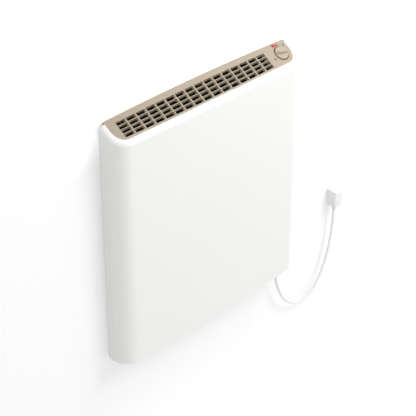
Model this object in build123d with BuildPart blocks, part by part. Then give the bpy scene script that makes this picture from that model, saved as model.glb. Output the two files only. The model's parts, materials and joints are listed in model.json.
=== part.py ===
"""Wall-hung electric panel heater with a sloping top grille, in millimetres.

X runs to the right along the wall, Y into the wall and Z up. The origin is on the wall,
in the middle of the four screw holes of the two wall brackets.
"""
from build123d import *
import math
import os

os.makedirs("parts", exist_ok=True)

# Overall size
width = 486.0
height = 512.0
depth = 58.0
crown = 5.2
front_bow = 4.8
top_slope = 32.5
side_flat = 17.2
rim_radius = 10.0
wall_gap = 3.0
side_gap = 8.0
hem_width = 10.0

# Sheet and clearances
shell_sheet = 1.2
pan_sheet = 1.0
pan_flange = 14.0
pan_top_drop = 11.0
seat = 0.3
snug = 0.1
running = 0.08
cut_over = 5.0

# Wall holes
hole_columns = 300.0
hole_rows = 330.0
hole_radius = 2.6
lower_row_height = 100.0

# Wall brackets, with hooks that the back pan hangs on
bracket_end = 20.0
bracket_height = 34.0
bracket_sheet = 1.5
hook_inset = 30.0
hook_width = 16.0
hook_rise = 12.0
hook_top = 25.0
hook_reach = 6.3
slot_height = 17.0
slot_play = 1.0
pad_radius = 8.0
pad_side_inset = 43.0
pad_inset = 30.0

# Screws, by shank and head
grille_screw_insets = (22.0, 62.0)
grille_screw_drop = 11.0
grille_screw_length = 6.0
shell_screw_inset = 6.0
shell_screw_y = -20.0
shell_screw_length = 7.0
screw_radius = 1.4
screw_head = 2.8
screw_head_height = 1.6
screw_edge = 0.7

# Grille
grille_side_inset = 13.0
grille_front_inset = 9.8
grille_corner_step = 12.5
grille_plate = 2.4
grille_sink = 0.3
grille_lip = 2.8
skirt_height = 16.0
skirt_wall = 2.0
rows = 4
column_pitch = 23.7
row_pitch = 8.15
field_margin = 32.8
control_zone = 76.8
first_row = 14.5
first_row_bow = -0.5
last_row_bow = 4.0
slat_thickness = 1.3
divider_thickness = 2.8
slat_depth = 10.5
slat_step = 0.2
divider_depth = 5.6
cell_corner = 0.7
crate_back = 8.0
crate_front_wall = 1.5

# Controls, placed on the slope from its right end and down from its rear edge
knob_inset = 38.0
knob_down = 25.0
knob_radius = 14.2
knob_height = 2.0
knob_edge = 0.9
knob_skirt_gap = 0.6
socket_wall = 0.9
grip_height = 7.0
grip_width = 4.0
grip_edge = 1.3
grip_end_inset = 1.6
grip_sink = 0.6
grip_angle = -15.0
recess_radius = 15.2
recess_depth = 1.2
control_pad = 5.0
bush_radius = 4.9
shaft_radius = 3.0
shaft_flat = 1.0
thermostat_length = 30.0
thermostat_width = 18.0
thermostat_depth = 14.0
thermostat_gap = 1.2
thermostat_edge = 1.5
switch_inset = 40.5
rocker_length = 11.5
rocker_swing_gap = 0.8
rocker_width = 3.2
rocker_back = 6.7
rocker_tilt = 7.0
rocker_pin_radius = 0.9
rocker_pin_end = 0.8
pivot_drop = 3.2
rocker_end_rise = 1.6
rocker_middle_rise = 0.8
rocker_edge = 0.4
switch_wall = 0.9
switch_depth = 14.0
switch_floor = 1.5
catch_reach = 1.2
bezel_rise = 0.2
sensor_inset = 20.3
sensor_down = 10.8
sensor_radius = 1.8
sensor_board_drop = 7.5
board_length = 12.0
board_width = 6.0
board_sheet = 1.6
post_radius = 1.1
blade_x = 10.0
blade_length = 7.0
blade_width = 6.3
blade_sheet = 0.8
switch_blade_width = 3.0

# Back pan
bead_inset = 58.0
bead_length = 280.0
bead_width = 7.0
vent_columns = 9
vent_pitch = 28.0
vent_row_pitch = 90.0
vent_length = 60.0
vent_width = 4.0
tab_width = 12.0
tab_overlap = 8.0
tab_rise = 4.5

# Inside
rail_inset = 37.0
rail_sheet = 1.0
rail_flange = 12.0
rail_front = 44.0
rail_foot = 6.0
rail_over_element = 40.0
reflector_gap = 8.0
reflector_sheet = 0.8
reflector_flange = 6.0
reflector_under_element = 40.0
reflector_over_element = 30.0
element_side_gap = 20.0
element_height = 300.0
element_foot = 90.0
element_thickness = 4.0
element_back = 23.0
element_frame_width = 9.0
ribbon_runs = 30
ribbon_height = 4.0
ribbon_rise = 0.6
ribbon_inset = 12.0
ceramic_radius = 4.0
bush_end_gap = 40.0
bush_screw_radius = 1.6
bush_screw_head = 3.0
bush_screw_height = 2.0
bush_screw_length = 9.0
lead_height = 80.0
lead_radius = 2.0
lead_bend = 5.0
lead_first_bend = 4.0
lead_second_bend = 9.0
upper_lead_rise = 13.0
upper_lead_shift = 6.0
grommet_radius = 3.5
grommet_lip = 1.5
grommet_lip_sheet = 1.3
loom_radius = 2.5
loom_bend = 8.0
loom_drop = 13.0
loom_under_top = 72.0
loom_terminal_x = 4.0
lead_loop_side = 12.0
lead_loop_rise = 45.0
lead_loop_end = 20.0
lead_tail = 5.0
shield_overhang = 8.0
shield_foot = 14.0
inlet_height = 8.0
inlet_flange = 12.0
inlet_slot_pitch = 17.0
inlet_slot_length = 14.0
inlet_slot_width = 4.5
cutout_x = 60.0
cutout_over_element = 15.0
cutout_radius = 8.0
cutout_height = 6.0
cutout_base = 1.5
cutout_base_size = (18.0, 12.0)
cutout_blade_reach = 4.0
cutout_blade_width = 6.0
terminal_width = 26.0
terminal_height = 28.0
terminal_gap = 3.0
terminal_foot = 60.0
terminal_front = 28.0
terminal_pitch = 8.0
terminal_screw_radius = 2.6
terminal_edge = 1.5

# Cord
cord_diameter = 6.5
gland_inset = 24.0
gland_y = -18.0
relief_length = 24.0
relief_tip_radius = 4.25
gland_radius = 7.0
gland_neck_radius = 5.0
gland_top = 5.0
collar_depth = 1.5
collar_edge = 0.8
collar_taper = 1.0
plug_x = 407.0
plug_width = 24.0
plug_height = 40.0
plug_thickness = 27.0
plug_gap = 1.0
plug_corner = 6.0
plug_edge = 3.0
plug_foot = 58.0
plug_relief = 12.0
relief_sink = 4.0
relief_tip_wall = 1.0
relief_root_wall = 4.0
cord_forward = 3.0
plug_blade_spacing = 12.7
plug_blade_sheet = 1.5
plug_blade_width = 6.35
plug_blade_length = 17.0
pin_drop = 11.9
pin_radius = 2.4
pin_length = 19.0
pin_edge = 1.2

# Values that follow from the sizes above
slope = math.radians(top_slope)
half = width / 2
bottom_z = -hole_rows / 2 - lower_row_height
top_z = bottom_z + height
front_edge = depth - front_bow
crown_out = crown * math.cos(slope)
crown_radius = (half**2 + crown_out**2) / (2 * crown_out)
knob_floor = -grille_sink - recess_depth
corner_radius = front_edge - side_flat
grille_corner_radius = corner_radius - grille_corner_step
bracket_half = hole_columns / 2 + bracket_end
hook_x = hole_columns / 2 - hook_inset
pad_x = half - pad_side_inset
grille_screw_xs = (grille_screw_insets[0] - half, half - grille_screw_insets[1])
shell_screw_x = half - shell_screw_inset
knob_x = half - knob_inset
switch_x = half - switch_inset
sensor_x = half - sensor_inset
bead_x = half - bead_inset
rail_x = half - rail_inset
rail_length = element_foot + element_height + rail_over_element - rail_foot
element_width = 2 * (rail_x - element_side_gap)
gland_x = half - gland_inset
columns = round((width - control_zone - field_margin) / column_pitch)


def crown_rise(x):
    """Rise of the crowned slope at x, measured square to the slope."""
    return math.sqrt(crown_radius**2 - x**2) - crown_radius + crown_out


def surface_height(x, y):
    """Height of the slope's surface over a point of the plan."""
    place = slope_plane(x, 0).origin
    return place.Z + (y - place.Y) * math.tan(slope)


def slope_plane(x, down, lift=0.0):
    """Plane on the slope: its local x runs right, y up the slope and z out of it."""
    rise = crown_rise(x) + lift
    y = -wall_gap - down * math.cos(slope) - rise * math.sin(slope)
    z = top_z - down * math.sin(slope) + rise * math.cos(slope)
    out = (0, -math.sin(slope), math.cos(slope))
    return Plane(origin=(x, y, z), x_dir=(1, 0, 0), z_dir=out)


def turned(plane, angle):
    """The same plane, turned about its own normal."""
    x_dir = plane.x_dir.rotate(Axis((0, 0, 0), plane.z_dir), angle)
    return Plane(origin=plane.origin, x_dir=x_dir, z_dir=plane.z_dir)


def below_slope(drop):
    """Everything under the crowned slope, lowered by drop square to it."""
    reach = half + 4 * cut_over
    foot = -height - depth
    across = Plane(
        origin=(0, -wall_gap, top_z),
        x_dir=(1, 0, 0),
        z_dir=(0, -math.cos(slope), -math.sin(slope)),
    )
    with BuildPart() as block:
        with BuildSketch(across):
            with BuildLine():
                end = crown_rise(reach) - drop
                ThreePointArc((-reach, end), (0, crown_out - drop), (reach, end))
                Polyline((reach, end), (reach, foot), (-reach, foot), (-reach, end))
            make_face()
        extrude(amount=height, both=True)
    return block.part


def plan_outline(side_inset, front_inset, radius, back):
    """Plan of the heater, inset from its outside, with a bowed front and round corners."""
    edge_x = half - side_inset
    bow = front_bow * (edge_x / half) ** 2
    corner_y = -(depth - front_inset - bow)
    with BuildSketch(Plane.XY) as plan:
        with BuildLine():
            Polyline((-edge_x, corner_y), (-edge_x, -back), (edge_x, -back), (edge_x, corner_y))
            ThreePointArc((edge_x, corner_y), (0, corner_y - bow), (-edge_x, corner_y))
        make_face()
        fillet(plan.vertices().group_by(Axis.Y)[0], radius)
    return plan.sketch


def shell_form(inset, back, foot):
    """Solid of the shell's outside, or of its inside when inset by the sheet."""
    cap = below_slope(inset)
    with BuildPart() as form:
        with BuildSketch(Plane.XY.offset(foot)):
            add(plan_outline(inset, inset, corner_radius - inset, back))
        extrude(amount=top_z + 2 * crown - foot)
        add(cap, mode=Mode.INTERSECT)
        top = form.faces().sort_by(Axis.Z)[-1]
        rim = [e for e in top.edges() if e.center().Y < -back - 1]
        fillet(rim, rim_radius - inset)
    return form.part


def crowned_plate(side_inset, front_inset, radius, back, upper, lower):
    """Plate that follows the slope between two drops, inside a plan outline."""
    cap = below_slope(upper)
    under = below_slope(lower)
    with BuildPart() as plate:
        with BuildSketch(Plane.XY.offset(top_z - depth)):
            add(plan_outline(side_inset, front_inset, radius, back))
        extrude(amount=depth + 2 * crown)
        add(cap, mode=Mode.INTERSECT)
        add(under, mode=Mode.SUBTRACT)
    return plate.part


def block(x_limits, y_limits, z_limits):
    """Plain block between two limits along each axis."""
    spans = [sorted(limits) for limits in (x_limits, y_limits, z_limits)]
    with BuildPart() as made:
        with Locations(tuple(sum(span) / 2 for span in spans)):
            Box(*[high - low for low, high in spans])
    return made.part


def channel(plane, web, flange, sheet, length):
    """Bent sheet channel: web along the plane's y, both flanges towards its x."""
    with BuildPart() as made:
        with BuildSketch(plane):
            with Locations((flange, 0)):
                RectangleRounded(2 * flange, web, 2 * sheet)
            with Locations((flange + sheet, 0)):
                RectangleRounded(2 * flange, web - 2 * sheet, sheet, mode=Mode.SUBTRACT)
            with Locations((1.5 * flange, 0)):
                Rectangle(flange, web, mode=Mode.SUBTRACT)
        extrude(amount=length)
    return made.part


def wire(points, bend, radius):
    """Round wire along straight runs joined by arcs."""
    with BuildPart() as made:
        with BuildLine() as path:
            FilletPolyline(*points, radius=bend)
        with BuildSketch(Plane(origin=path.line @ 0, z_dir=path.line % 0)):
            Circle(radius)
        sweep()
    return made.part


def off_wall(distance):
    """Upright plane at a distance from the wall, facing away from it."""
    return Plane.XZ.offset(distance)


def save(built, label):
    """Labels a finished piece and writes its file."""
    built.part.label = label
    export_step(built.part, f"parts/{label}.step")


# Front shell: one sheet drawn round the front, sides and top rim, open behind and below
outside = shell_form(0, side_gap, bottom_z)
inside = shell_form(shell_sheet, side_gap - cut_over, bottom_z - cut_over)
hem_overlap = shell_sheet / 2
with BuildPart() as front_shell:
    add(outside)
    add(inside, mode=Mode.SUBTRACT)
    # Opening that the grille fills, run out through the back
    with BuildSketch(Plane.XY.offset(top_z - depth)):
        add(plan_outline(grille_side_inset, grille_front_inset, grille_corner_radius, 0))
    extrude(amount=depth + 2 * crown, mode=Mode.SUBTRACT)
    # Hem folded inwards along the bottom edge
    with BuildSketch(Plane.XY.offset(bottom_z)):
        add(plan_outline(hem_overlap, hem_overlap, corner_radius - hem_overlap, side_gap))
        hem_hole = plan_outline(hem_width, hem_width, corner_radius - hem_width, 0)
        add(hem_hole, mode=Mode.SUBTRACT)
    extrude(amount=shell_sheet)
    # Screw holes in the hem
    with BuildSketch(Plane.XY.offset(bottom_z)):
        with Locations((-shell_screw_x, shell_screw_y), (shell_screw_x, shell_screw_y)):
            Circle(screw_radius + seat)
    extrude(amount=shell_sheet, mode=Mode.SUBTRACT)
save(front_shell, "front_shell")

# Top grille: crowned plate with an egg-crate field, a rear skirt and a pad for the controls
half_cell = (column_pitch - divider_thickness) / 2
field_right = half - control_zone
field_x = field_right - half_cell - (columns - 1) / 2 * column_pitch
field_left = 2 * field_x - field_right


def row_line(row, x):
    """Distance down the slope to a row's centre line, which bows more towards the front."""
    bow = first_row_bow + (last_row_bow - first_row_bow) * row / (rows - 1)
    return first_row + row * row_pitch + bow * (1 - (x / half) ** 2)


def slat_line(slat, x):
    """Distance down the slope to a slat between two rows; slat 0 lies behind row 0."""
    return row_line(slat - 0.5, x)


field_plane = slope_plane(0, 0, 1.0)
rib = slat_thickness / 2
crate_front = slat_line(rows, 0) + rib + crate_front_wall
lip_plate = crowned_plate(
    grille_side_inset - grille_lip,
    grille_front_inset - grille_lip,
    grille_corner_radius + grille_lip,
    wall_gap,
    shell_sheet,
    grille_plate,
)
top_plate = crowned_plate(
    grille_side_inset + seat,
    grille_front_inset + seat,
    grille_corner_radius - seat,
    wall_gap,
    grille_sink,
    grille_plate,
)
crate_block = crowned_plate(
    grille_side_inset + 2 * seat,
    grille_front_inset + 2 * seat,
    grille_corner_radius - 2 * seat,
    wall_gap,
    grille_plate - 0.5,
    slat_depth,
)
pad_plate = crowned_plate(
    grille_side_inset + 2 * seat,
    grille_front_inset + 2 * seat,
    grille_corner_radius - 2 * seat,
    wall_gap + skirt_wall / 2,
    grille_plate - 0.5,
    control_pad,
)
grille_cap = below_slope(grille_sink)
divider_cap = below_slope(divider_depth)
skirt_half = half - grille_side_inset - seat
pad_left = field_right + slat_thickness
thermostat_seat = control_pad + thermostat_gap
switch_back = rocker_back - seat - switch_wall
switch_front = rocker_back + rocker_width + seat + switch_wall
switch_half = rocker_length / 2 + rocker_swing_gap + switch_wall
with BuildPart() as crate:
    add(crate_block)
    # Keep the deep part under the field only
    with BuildSketch(field_plane):
        with Locations(((field_left + field_right) / 2, -(crate_front + crate_back) / 2)):
            Rectangle(field_right - field_left + 2 * slat_thickness, crate_front - crate_back)
    extrude(amount=3 * slat_depth, both=True, mode=Mode.INTERSECT)
with BuildPart() as divider_relief:
    # Strips between the slats, under the shallower dividers, where the slats get thinner
    with BuildSketch(field_plane):
        for row in range(rows):
            steps = (field_left - slat_step, 0, field_right + slat_step)
            back = [(x, -slat_line(row, x) - rib + slat_step) for x in steps]
            front = [(x, -slat_line(row + 1, x) + rib - slat_step) for x in steps]
            with BuildLine():
                ThreePointArc(*back)
                Line(back[2], front[2])
                ThreePointArc(*reversed(front))
                Line(front[0], back[0])
            make_face()
    extrude(amount=-3 * slat_depth)
    add(divider_cap, mode=Mode.INTERSECT)
with BuildPart() as control_zone:
    # Thicker part of the plate that carries the controls
    add(pad_plate)
    with BuildSketch(Plane.XY.offset(top_z - 2 * depth)):
        with Locations(((pad_left + half) / 2, -depth / 2)):
            Rectangle(half - pad_left, depth)
    extrude(amount=4 * depth, mode=Mode.INTERSECT)
with BuildPart() as top_grille:
    add(top_plate)
    add(lip_plate)
    add(crate)
    add(control_zone)
    # Rear skirt that closes the gap down to the back pan
    with BuildSketch(Plane.XY.offset(top_z - skirt_height)):
        with Locations((0, -wall_gap - skirt_wall / 2)):
            Rectangle(2 * skirt_half, skirt_wall)
    extrude(amount=skirt_height + 2 * crown)
    add(grille_cap, mode=Mode.INTERSECT)
    # Flat seat under the plate for the thermostat, and two posts for the sensor board
    with BuildSketch(slope_plane(knob_x, knob_down, -thermostat_seat)):
        Rectangle(thermostat_length, thermostat_width)
    extrude(amount=thermostat_seat - grille_plate)
    with BuildSketch(slope_plane(sensor_x, sensor_down, -sensor_board_drop)):
        with GridLocations(board_length - 3, 1, 2, 1):
            Circle(post_radius)
    extrude(amount=sensor_board_drop - grille_plate)
    # Cells of the egg crate
    with BuildSketch(field_plane) as cells:
        for column in range(columns):
            x = field_x + (column - (columns - 1) / 2) * column_pitch
            left = x - half_cell
            right = x + half_cell
            for row in range(rows):
                Polygon(
                    (left, -slat_line(row, left) - rib),
                    (right, -slat_line(row, right) - rib),
                    (right, -slat_line(row + 1, right) + rib),
                    (left, -slat_line(row + 1, left) + rib),
                    align=None,
                )
        fillet(cells.vertices(), cell_corner)
    extrude(amount=-3 * slat_depth, mode=Mode.SUBTRACT)
    add(divider_relief, mode=Mode.SUBTRACT)
    # Knob recess and the hole of the thermostat's bush
    with BuildSketch(slope_plane(knob_x, knob_down, knob_floor)):
        Circle(recess_radius)
    extrude(amount=2 * recess_depth, mode=Mode.SUBTRACT)
    with BuildSketch(slope_plane(knob_x, knob_down, 1)):
        Circle(bush_radius + 2 * snug)
    extrude(amount=-2 * thermostat_seat, mode=Mode.SUBTRACT)
    # Sensor window hole
    with BuildSketch(slope_plane(sensor_x, sensor_down, 1)):
        Circle(sensor_radius + snug)
    extrude(amount=-2 * control_pad, mode=Mode.SUBTRACT)
    # Screw holes in the skirt
    with BuildSketch(off_wall(wall_gap)):
        with Locations(*[(x, top_z - grille_screw_drop) for x in grille_screw_xs]):
            Circle(screw_radius + seat)
    extrude(amount=skirt_wall, mode=Mode.SUBTRACT)
    # Switch opening, cut straight down
    with BuildSketch(Plane.XY.offset(top_z - depth)):
        with Locations((switch_x, -(switch_back + switch_front) / 2)):
            Rectangle(2 * (switch_half + snug), switch_front - switch_back + 2 * snug)
    extrude(amount=depth + 2 * crown, mode=Mode.SUBTRACT)
save(top_grille, "top_grille")


# Thermostat knob: low disc with a crowned finger grip across it and a D-shaped socket
knob_plane = slope_plane(knob_x, knob_down, knob_floor + knob_skirt_gap)
disc_height = knob_height - knob_floor - knob_skirt_gap
grip_plane = turned(knob_plane, grip_angle)
grip_side = Plane(
    origin=grip_plane.origin,
    x_dir=grip_plane.x_dir,
    z_dir=grip_plane.x_dir.cross(grip_plane.z_dir),
)
socket_depth = disc_height - socket_wall
grip_end = knob_radius - grip_end_inset
grip_foot = disc_height - grip_sink
grip_crest = grip_height - knob_floor - knob_skirt_gap
with BuildPart() as finger_grip:
    with BuildSketch(grip_side):
        with BuildLine():
            Line((-grip_end, grip_foot), (grip_end, grip_foot))
            ThreePointArc((grip_end, grip_foot), (0, grip_crest), (-grip_end, grip_foot))
        make_face()
    extrude(amount=grip_width / 2, both=True)
    fillet(finger_grip.edges().filter_by(GeomType.CIRCLE), grip_edge)
with BuildPart() as thermostat_knob:
    with BuildSketch(knob_plane):
        Circle(knob_radius)
    extrude(amount=disc_height)
    fillet(thermostat_knob.edges().sort_by(Axis.Z)[-1], knob_edge)
    add(finger_grip)
    with BuildSketch(knob_plane):
        Circle(shaft_radius + snug)
        with Locations((0, 2 * shaft_radius - shaft_flat + snug)):
            Rectangle(4 * shaft_radius, 2 * shaft_radius, mode=Mode.SUBTRACT)
    extrude(amount=socket_depth, mode=Mode.SUBTRACT)
save(thermostat_knob, "thermostat_knob")

# Thermostat shaft, flattened where it enters the knob
shaft_foot = slope_plane(knob_x, knob_down, -thermostat_seat - 3)
shaft_length = thermostat_seat + 3 + knob_floor + knob_skirt_gap + socket_depth
with BuildPart() as thermostat_shaft:
    with BuildSketch(shaft_foot):
        Circle(shaft_radius)
    extrude(amount=shaft_length)
    with BuildSketch(knob_plane):
        with Locations((0, 2 * shaft_radius - shaft_flat)):
            Rectangle(4 * shaft_radius, 2 * shaft_radius)
    extrude(amount=socket_depth, mode=Mode.SUBTRACT)
save(thermostat_shaft, "thermostat_shaft")

# Thermostat body, seated under the grille with its bush through it
seat_plane = slope_plane(knob_x, knob_down, -thermostat_seat)
with BuildPart() as thermostat_body:
    with BuildSketch(seat_plane):
        Rectangle(thermostat_length, thermostat_width)
    extrude(amount=-thermostat_depth)
    corner_edges = thermostat_body.edges().filter_by(Axis(seat_plane.origin, seat_plane.z_dir))
    fillet(corner_edges, thermostat_edge)
    with BuildSketch(seat_plane):
        Circle(bush_radius)
    extrude(amount=thermostat_seat + knob_floor)
    with BuildSketch(shaft_foot):
        Circle(shaft_radius + running)
    extrude(amount=2 * thermostat_seat, mode=Mode.SUBTRACT)
save(thermostat_body, "thermostat_body")

# Blade terminals under the thermostat and under the switch
thermostat_under = slope_plane(knob_x, knob_down, -thermostat_seat - thermostat_depth)
with BuildPart() as thermostat_terminals:
    with BuildSketch(thermostat_under):
        with GridLocations(2 * blade_x, 1, 2, 1):
            Rectangle(blade_sheet, blade_width)
    extrude(amount=-blade_length)
save(thermostat_terminals, "thermostat_terminals")

# Switch housing, an upright box with a window for the rocker and a catch at each end
switch_low = top_z - switch_depth
switch_y = (-switch_front, -switch_back)
rocker_y = -rocker_back - rocker_width / 2
window_half = switch_half - switch_wall
window_y = (-switch_front + switch_wall, -switch_back - switch_wall)
pivot_height = surface_height(switch_x, rocker_y) - pivot_drop
pivot = Plane(origin=(switch_x, rocker_y, pivot_height), x_dir=(1, 0, 0), z_dir=(0, -1, 0))
catch_half = switch_half + catch_reach
tall = top_z + 2 * crown
with BuildPart() as switch_catch:
    catch_y = (-switch_front, -wall_gap - skirt_wall - seat)
    add(block((switch_x - catch_half, switch_x + catch_half), catch_y, (switch_low + 3, tall)))
    add(below_slope(control_pad), mode=Mode.INTERSECT)
with BuildPart() as switch_housing:
    add(block((switch_x - switch_half, switch_x + switch_half), switch_y, (switch_low, tall)))
    add(below_slope(-bezel_rise), mode=Mode.INTERSECT)
    add(switch_catch)
    window_x = (switch_x - window_half, switch_x + window_half)
    add(block(window_x, window_y, (switch_low + switch_floor, tall)), mode=Mode.SUBTRACT)
    with BuildSketch(pivot):
        Circle(rocker_pin_radius + running)
    extrude(amount=rocker_width + switch_wall, both=True, mode=Mode.SUBTRACT)
save(switch_housing, "switch_housing")
with BuildPart() as switch_terminals:
    with BuildSketch(Plane.XY.offset(switch_low)):
        with Locations((switch_x, rocker_y)):
            with GridLocations(blade_width, 1, 2, 1):
                Rectangle(blade_sheet, switch_blade_width)
    extrude(amount=-blade_length + 2)
save(switch_terminals, "switch_terminals")

# Rocker: shallow V on top and a round back, leaning with the slope and tilted on its pins
rocker_half = rocker_length / 2
rocker_end = pivot_drop + rocker_end_rise
rocker_middle = pivot_drop + rocker_middle_rise
lean = (0, -math.cos(slope), -math.sin(slope))
half_lean = Vector(0, rocker_width / 2, rocker_width / 2 * math.tan(slope))
rocker_rear = turned(Plane(pivot.origin + half_lean, (1, 0, 0), (0, -1, 0)), -rocker_tilt)
rocker_rise = (rocker_end - rocker_middle) / rocker_half
with BuildPart() as rocker_roof:
    # Shallow V that leans with the slope
    with BuildSketch(rocker_rear):
        Polygon(
            (-2 * rocker_half, -rocker_length),
            (2 * rocker_half, -rocker_length),
            (2 * rocker_half, rocker_end + rocker_rise * rocker_half),
            (0, rocker_middle),
            (-2 * rocker_half, rocker_end + rocker_rise * rocker_half),
            align=None,
        )
    extrude(amount=rocker_width / math.cos(slope), dir=lean)
with BuildPart() as power_rocker:
    with BuildSketch(rocker_rear):
        with BuildLine():
            ThreePointArc((rocker_half, 0), (0, -pivot_drop), (-rocker_half, 0))
            Polyline(
                (-rocker_half, 0),
                (-rocker_half, rocker_length),
                (rocker_half, rocker_length),
                (rocker_half, 0),
            )
        make_face()
    extrude(amount=rocker_width)
    add(rocker_roof, mode=Mode.INTERSECT)
    top_edges = [face.edges() for face in power_rocker.faces().filter_by(lambda f: f.normal_at().Z > 0.7)]
    rim_edges = [e for edges in top_edges for e in edges if abs(e.center().X - switch_x) > 1]
    fillet(rim_edges, rocker_edge)
    with BuildSketch(pivot):
        Circle(rocker_pin_radius)
    extrude(amount=rocker_width / 2 + seat + rocker_pin_end, both=True)
save(power_rocker, "power_rocker")

# Sensor window, a short light pipe, and the board it stands on
with BuildPart() as sensor_window:
    with BuildSketch(slope_plane(sensor_x, sensor_down, -sensor_board_drop)):
        Circle(sensor_radius)
    extrude(amount=sensor_board_drop - 2 * snug)
    fillet(sensor_window.edges().sort_by(Axis.Z)[-1], 0.5)
save(sensor_window, "sensor_window")
with BuildPart() as sensor_board:
    with BuildSketch(slope_plane(sensor_x, sensor_down, -sensor_board_drop)):
        Rectangle(board_length, board_width)
    extrude(amount=-board_sheet)
save(sensor_board, "sensor_board")

# Back pan: sheet with side flanges, a floor at each end and two tabs for the grille
pan_half = half - shell_sheet - seat
pan_low = bottom_z + shell_sheet + seat
pan_high = top_z - skirt_height - seat
pan_front = wall_gap + pan_sheet
floor_half = rail_x + 1
tab_back = wall_gap + skirt_wall + seat
pan_plane = Plane(origin=(0, -wall_gap, pan_low), x_dir=(0, -1, 0), z_dir=(0, 0, 1))
floor_inset = shell_sheet + seat
slot_middle = hook_rise - slot_height / 2
with BuildPart() as pan_floors:
    with BuildSketch(Plane.XY.offset(pan_low)):
        add(plan_outline(floor_inset, floor_inset, corner_radius - floor_inset, wall_gap))
        Rectangle(2 * floor_half, 3 * depth, mode=Mode.SUBTRACT)
    extrude(amount=pan_sheet)
with BuildPart() as back_pan:
    add(channel(pan_plane, 2 * pan_half, pan_flange, pan_sheet, pan_high - pan_low))
    add(below_slope(pan_top_drop), mode=Mode.INTERSECT)
    add(pan_floors)
    # Joggled tabs that stand in front of the grille's skirt
    for x in grille_screw_xs:
        tab_x = (x - tab_width / 2, x + tab_width / 2)
        tab_low = pan_high - tab_overlap
        foot_y = (-wall_gap, -tab_back - pan_sheet)
        add(block(tab_x, foot_y, (tab_low, tab_low + 2 * pan_sheet)))
        tab_y = (-tab_back, -tab_back - pan_sheet)
        add(block(tab_x, tab_y, (tab_low, top_z - grille_screw_drop + tab_rise)))
    # Pressed beads that stand out towards the wall
    with BuildSketch(off_wall(wall_gap - pan_sheet)):
        with GridLocations(2 * bead_x, 1, 2, 1):
            SlotOverall(bead_length, bead_width, rotation=90)
    extrude(amount=pan_sheet)
    with BuildSketch(off_wall(wall_gap)):
        with GridLocations(2 * bead_x, 1, 2, 1):
            SlotOverall(bead_length - 2 * pan_sheet, bead_width - 2 * pan_sheet, rotation=90)
    extrude(amount=pan_sheet, mode=Mode.SUBTRACT)
    with BuildSketch(off_wall(wall_gap)):
        # Slots that hang on the wall hooks
        with Locations((0, hole_rows / 2 + slot_middle), (0, -hole_rows / 2 + slot_middle)):
            with GridLocations(2 * hook_x, 1, 2, 1):
                Rectangle(hook_width + 2 * slot_play, slot_height)
        # Vents
        with GridLocations(vent_pitch, vent_row_pitch, vent_columns, 2):
            SlotOverall(vent_length, vent_width, rotation=90)
    extrude(amount=pan_sheet, mode=Mode.SUBTRACT)
    # Screw holes for the grille, in the tabs
    with BuildSketch(off_wall(wall_gap)):
        with Locations(*[(x, top_z - grille_screw_drop) for x in grille_screw_xs]):
            Circle(screw_radius + running)
    extrude(amount=skirt_wall + 2 * pan_sheet, mode=Mode.SUBTRACT)
    # Screw holes for the shell and the hole for the cord gland, in the floors
    with BuildSketch(Plane.XY.offset(pan_low)):
        with Locations((-shell_screw_x, shell_screw_y), (shell_screw_x, shell_screw_y)):
            Circle(screw_radius + running)
        with Locations((gland_x, gland_y)):
            Circle(gland_neck_radius + 2 * snug)
    extrude(amount=pan_sheet, mode=Mode.SUBTRACT)
save(back_pan, "back_pan")


def wall_bracket(row):
    """Strip screwed to the wall at a row of holes, with two hooks that reach forwards."""
    strip_z = (row - bracket_height / 2, row + bracket_height / 2)
    with BuildPart() as bracket:
        add(block((-bracket_half, bracket_half), (-bracket_sheet, 0), strip_z))
        fillet(bracket.edges().filter_by(Axis.Y), 3)
        for x in (-hook_x, hook_x):
            hook_across = (x - hook_width / 2, x + hook_width / 2)
            neck_z = (row + hook_rise - bracket_sheet, row + hook_rise)
            window_z = (row - hook_rise / 2, neck_z[0])
            add(block(hook_across, (0, -bracket_sheet), window_z), mode=Mode.SUBTRACT)
            add(block(hook_across, (0, -hook_reach), neck_z))
            upright_z = (neck_z[0], row + hook_top)
            add(block(hook_across, (-hook_reach, bracket_sheet - hook_reach), upright_z))
        with BuildSketch(off_wall(0)):
            with Locations((-hole_columns / 2, row), (hole_columns / 2, row)):
                Circle(hole_radius)
        extrude(amount=bracket_sheet, mode=Mode.SUBTRACT)
    return bracket


save(wall_bracket(hole_rows / 2), "wall_bracket_upper")
save(wall_bracket(-hole_rows / 2), "wall_bracket_lower")

# Rubber pads between the back pan and the wall
with BuildPart() as wall_pads:
    with BuildSketch(off_wall(0)):
        with Locations((0, top_z - pad_inset), (0, bottom_z + pad_inset)):
            with GridLocations(2 * pad_x, 1, 2, 1):
                Circle(pad_radius)
    extrude(amount=wall_gap)
save(wall_pads, "wall_pads")


def screw(seat_face, length):
    """Pan-head screw whose head stands on a plane and whose shank runs behind it."""
    with BuildPart() as made:
        with BuildSketch(seat_face):
            Circle(screw_head)
        extrude(amount=screw_head_height)
        head_face = made.faces().sort_by(Axis(seat_face.origin, seat_face.z_dir))[-1]
        fillet(head_face.edges(), screw_edge)
        with BuildSketch(seat_face):
            Circle(screw_radius)
        extrude(amount=-length)
    return made.part


with BuildPart() as grille_screws:
    for x in grille_screw_xs:
        back_face = Plane(origin=(x, -wall_gap, top_z - grille_screw_drop), z_dir=(0, 1, 0))
        add(screw(back_face, grille_screw_length))
save(grille_screws, "grille_screws")
with BuildPart() as shell_screws:
    for x in (-shell_screw_x, shell_screw_x):
        hem_face = Plane(origin=(x, shell_screw_y, bottom_z), z_dir=(0, 0, -1))
        add(screw(hem_face, shell_screw_length))
save(shell_screws, "shell_screws")

# Side rails: upright channels that carry the element and the shield
rail_low = bottom_z + rail_foot
rail_depth = rail_front - pan_front
rail_y = -(pan_front + rail_front) / 2
bush_y = -element_back - element_thickness / 2
element_low = bottom_z + element_foot
bush_heights = (element_low + bush_end_gap, element_low + element_height - bush_end_gap)
lead_z = bottom_z + lead_height


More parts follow.
